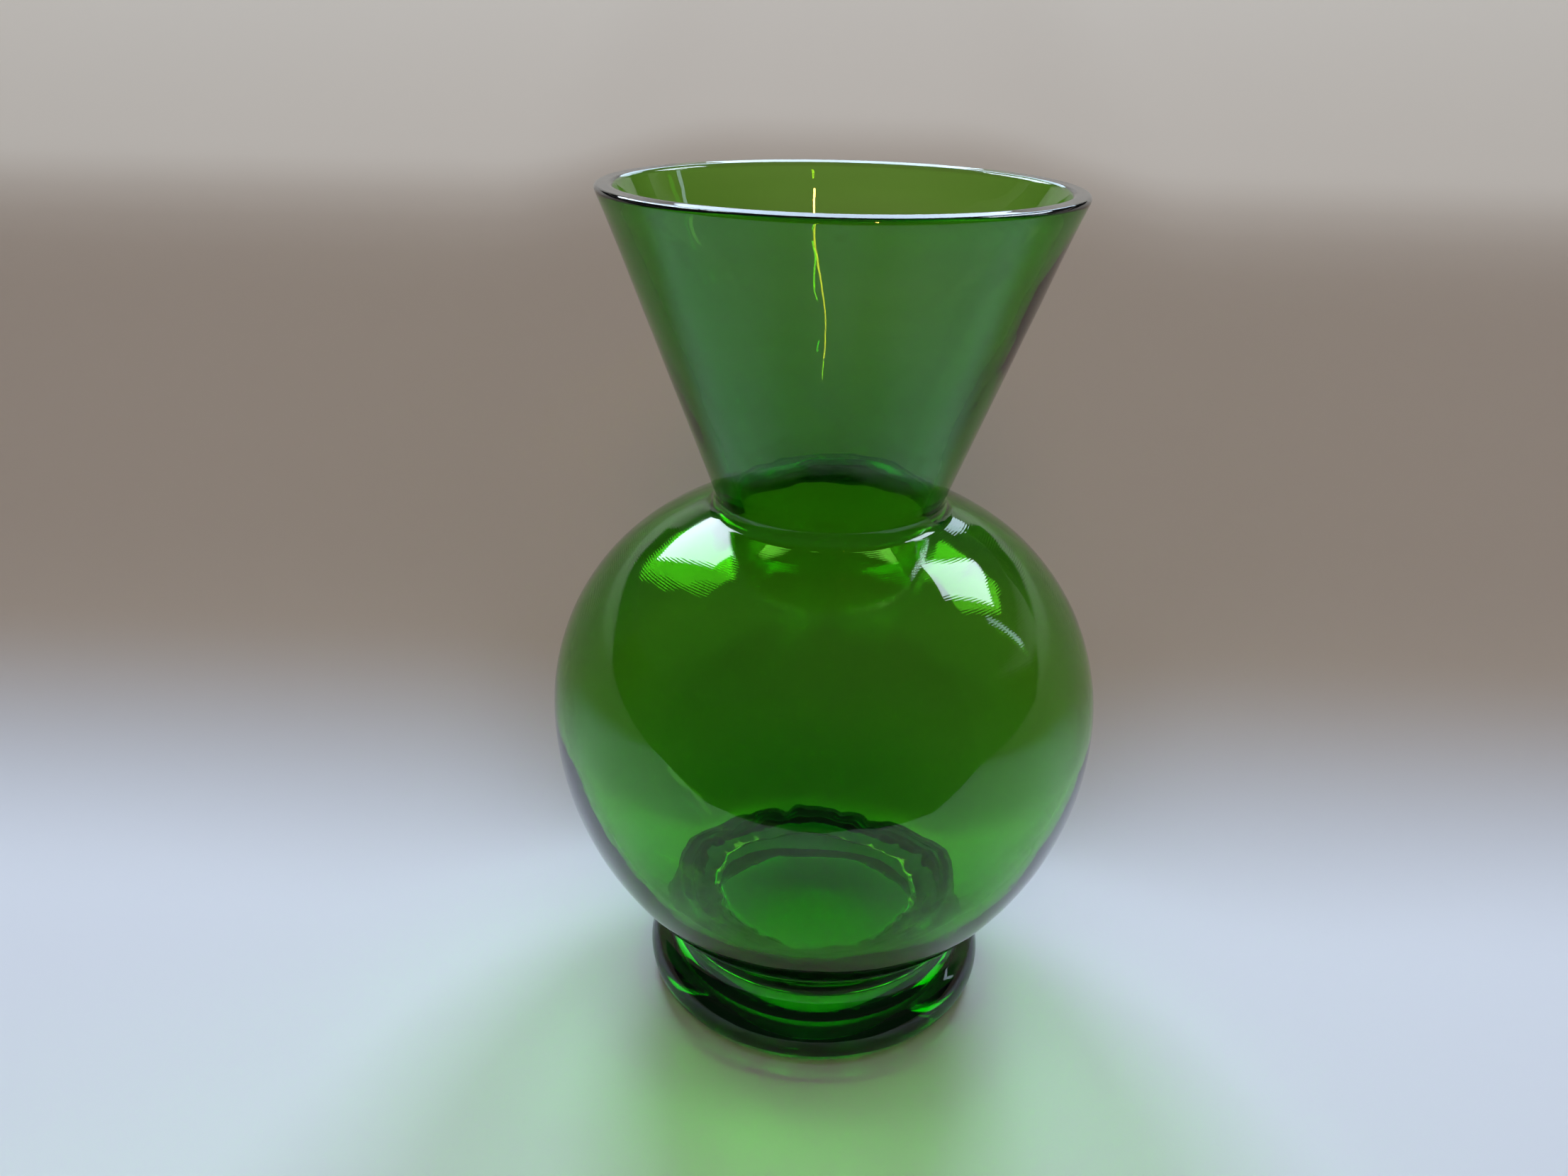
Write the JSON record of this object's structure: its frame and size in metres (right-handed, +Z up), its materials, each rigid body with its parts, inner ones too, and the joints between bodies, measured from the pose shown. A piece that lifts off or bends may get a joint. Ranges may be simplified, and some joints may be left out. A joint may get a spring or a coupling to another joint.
{
  "type": "glass vase",
  "caption": "Transparent green glass bud vase: a flared conical neck with a rounded lip on a round hollow body, standing on a thick rounded foot that is hollow underneath.",
  "frame": {"origin": "centre of the ring that the foot stands on, on the surface under the vase", "axes": "+Z up the vase's axis of symmetry; -Y faces the picture's camera and +X is to its right"},
  "size_m": [0.1056, 0.1056, 0.162],
  "materials": {
    "green_glass": "clear fire-polished green glass, tinted through its thickness"
  },
  "bodies": {
    "root": {"rim": "green_glass", "neck": "green_glass", "shoulder": "green_glass", "belly": "green_glass", "base": "green_glass", "foot": "green_glass"}
  },
  "joints": []
}
